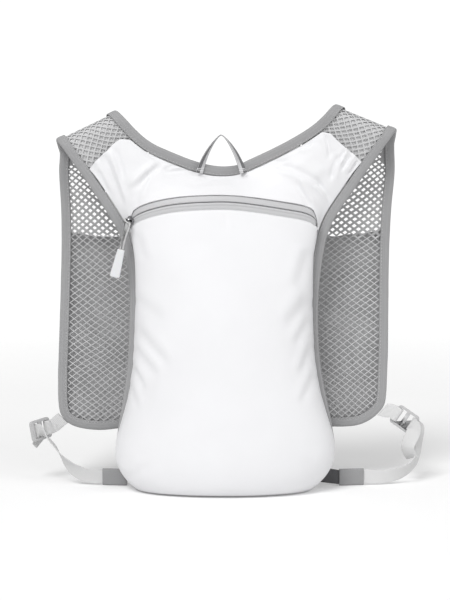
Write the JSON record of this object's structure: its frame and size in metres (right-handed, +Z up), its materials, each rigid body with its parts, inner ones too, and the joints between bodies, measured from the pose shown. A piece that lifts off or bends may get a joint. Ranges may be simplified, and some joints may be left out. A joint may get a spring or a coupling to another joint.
{
  "type": "running backpack",
  "caption": "Slim zipped running bag on a net harness that folds over the shoulders into two chest panels tied to the base by side straps.",
  "frame": {"origin": "middle of the flat base that the bag stands on", "axes": "+Z up; -Y is the bag's zipped front; +Y is the wearer's side, where the chest panels hang; +X is to the right in the front view"},
  "size_m": [0.42, 0.1202, 0.4002],
  "materials": {
    "bag_cloth": "thin plain-woven coated cloth, faint sheen",
    "mesh_cloth": "knitted spacer net, matte",
    "pocket_cloth": "stretch net, matte",
    "binding_tape": "folded woven tape, fine ribs",
    "zip_tape": "coated zip tape, satin",
    "slider_metal": "bright cast metal",
    "cord": "braided cord",
    "grip_plastic": "moulded soft plastic",
    "loop_ribbon": "flat ribbon, satin",
    "elastic": "ribbed woven elastic",
    "buckle_plastic": "moulded plastic, satin",
    "webbing": "flat woven webbing",
    "sleeve_cloth": "folded woven cloth, stitched",
    "anchor_cloth": "folded woven cloth, stitched"
  },
  "bodies": {
    "root": {"front_panel": "bag_cloth", "yoke": "bag_cloth", "back_panel": "mesh_cloth", "shoulder_mesh_left": "mesh_cloth", "shoulder_mesh_right": "mesh_cloth", "chest_pocket_left": "pocket_cloth", "chest_pocket_right": "pocket_cloth", "armhole_binding_left": "binding_tape", "armhole_binding_right": "binding_tape", "neck_binding": "binding_tape", "zip_tape_lower": "zip_tape", "zip_tape_upper": "zip_tape", "zip_slider": "slider_metal", "pull_cord": "cord", "pull_tab": "grip_plastic", "hang_loop": "loop_ribbon", "elastic_left": "elastic", "elastic_right": "elastic", "buckle_left": "buckle_plastic", "buckle_right": "buckle_plastic", "side_strap_left": "webbing", "side_strap_right": "webbing", "strap_sleeve_left": "sleeve_cloth", "strap_sleeve_right": "sleeve_cloth", "strap_anchor_right": "anchor_cloth"}
  },
  "joints": []
}
